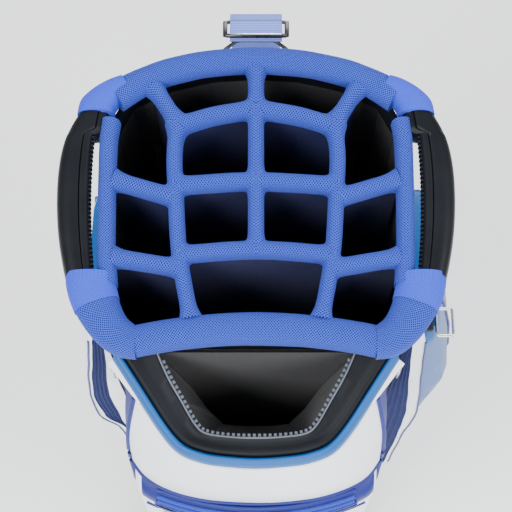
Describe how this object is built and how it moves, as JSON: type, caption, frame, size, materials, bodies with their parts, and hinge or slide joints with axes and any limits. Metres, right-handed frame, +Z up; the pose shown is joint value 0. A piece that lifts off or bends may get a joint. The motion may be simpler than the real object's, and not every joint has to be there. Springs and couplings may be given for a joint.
{
  "type": "golf cart bag",
  "caption": "Golf cart bag with a padded mesh divider top, moulded side handles, putter well, zipped pockets and carrying strap.",
  "frame": {"origin": "middle of the base boot, on the surface the bag stands on", "axes": "+Z up the bag; -Y the front, where the putter well and ball pocket are; +X to the right as seen from the front"},
  "size_m": [0.3529, 0.4459, 0.9046],
  "materials": {
    "mesh_blue": "matte",
    "knit_blue": "matte",
    "rubber": "satin",
    "light_blue": "satin",
    "white_coated": "satin",
    "navy": "satin",
    "black_cloth": "matte",
    "webbing_blue": "matte",
    "silver": "polished",
    "dark_metal": "satin",
    "aluminium": "satin"
  },
  "bodies": {
    "root": {"arc_left": "mesh_blue", "arc_right": "mesh_blue", "back_roll": "mesh_blue", "back_spine": "navy", "ball_pocket": "white_coated", "ball_zip": "webbing_blue", "base_boot": "rubber", "body_shell": "white_coated", "cross_back_left": "mesh_blue", "cross_back_middle": "mesh_blue", "cross_back_right": "mesh_blue", "cross_front_left": "mesh_blue", "cross_front_middle": "mesh_blue", "cross_front_right": "mesh_blue", "divider_bar_left": "mesh_blue", "divider_bar_right": "mesh_blue", "front_panel": "white_coated", "front_roll": "mesh_blue", "lower_anchor": "webbing_blue", "lower_pocket": "white_coated", "lower_ring": "dark_metal", "rim_trim": "light_blue", "ring_tab": "black_cloth", "side_handle_left": "rubber", "side_handle_right": "rubber", "side_pocket_left": "white_coated", "side_pocket_right": "light_blue", "side_roll_left": "mesh_blue", "side_roll_right": "mesh_blue", "side_zip_left": "webbing_blue", "side_zip_right": "webbing_blue", "spine_back": "mesh_blue", "spine_front": "mesh_blue", "spine_middle": "mesh_blue", "spoke_left": "mesh_blue", "spoke_right": "mesh_blue", "stay_left": "aluminium", "stay_right": "aluminium", "strap_anchor": "webbing_blue", "strap_ring": "dark_metal", "top_collar": "rubber", "well_liner": "black_cloth", "well_rim": "rubber", "well_wall": "black_cloth", "wrap_back_left": "knit_blue", "wrap_back_right": "knit_blue", "wrap_front_left": "knit_blue", "wrap_front_right": "knit_blue"},
    "ball_slider": {"ball_slider": "silver"},
    "ball_pull": {"ball_pull": "silver"},
    "side_slider_left": {"side_slider_left": "silver"},
    "side_pull_left": {"side_pull_left": "silver"},
    "side_slider_right": {"side_slider_right": "silver"},
    "side_pull_right": {"side_pull_right": "silver"},
    "strap": {"strap_web_upper": "webbing_blue", "strap_web_lower": "webbing_blue", "strap_pad": "black_cloth"},
    "tri_glide": {"tri_glide": "dark_metal"},
    "towel_ring": {"towel_ring": "silver"}
  },
  "joints": [
    {"name": "ball_zip_slide", "type": "hinge", "parent": "root", "child": "ball_slider", "pos_m": [0, 0.0025, 0.692], "axis": [0, 0, 1], "range_deg": [0, 38.9]},
    {"name": "ball_pull_swing", "type": "hinge", "parent": "ball_slider", "child": "ball_pull", "pos_m": [-0.08708, -0.2306, 0.692], "axis": [0, 0, 1], "range_deg": [-150, 0]},
    {"name": "side_zip_slide_left", "type": "slide", "parent": "root", "child": "side_slider_left", "axis": [0, 0, 1], "range_m": [-0.395, 0]},
    {"name": "side_pull_swing_left", "type": "hinge", "parent": "side_slider_left", "child": "side_pull_left", "pos_m": [-0.12305, -0.12303, 0.7814], "axis": [-0.5145, 0.8575, 0], "range_deg": [0, 150]},
    {"name": "side_zip_slide_right", "type": "slide", "parent": "root", "child": "side_slider_right", "axis": [0, 0, 1], "range_m": [-0.395, 0]},
    {"name": "side_pull_swing_right", "type": "hinge", "parent": "side_slider_right", "child": "side_pull_right", "pos_m": [0.12305, -0.12303, 0.7814], "axis": [-0.5145, -0.8575, 0], "range_deg": [0, 150]},
    {"name": "strap_swing", "type": "hinge", "parent": "root", "child": "strap", "pos_m": [0, 0.1375, 0.5528], "axis": [0, 0, 1], "range_deg": [-20, 20]},
    {"name": "tri_glide_slide", "type": "slide", "parent": "strap", "child": "tri_glide", "axis": [0, 1, 0], "range_m": [-0.008, 0.008]},
    {"name": "towel_ring_swing", "type": "hinge", "parent": "root", "child": "towel_ring", "pos_m": [0.153, -0.088, 0.8032], "axis": [0, -1, 0], "range_deg": [0, 95]}
  ]
}
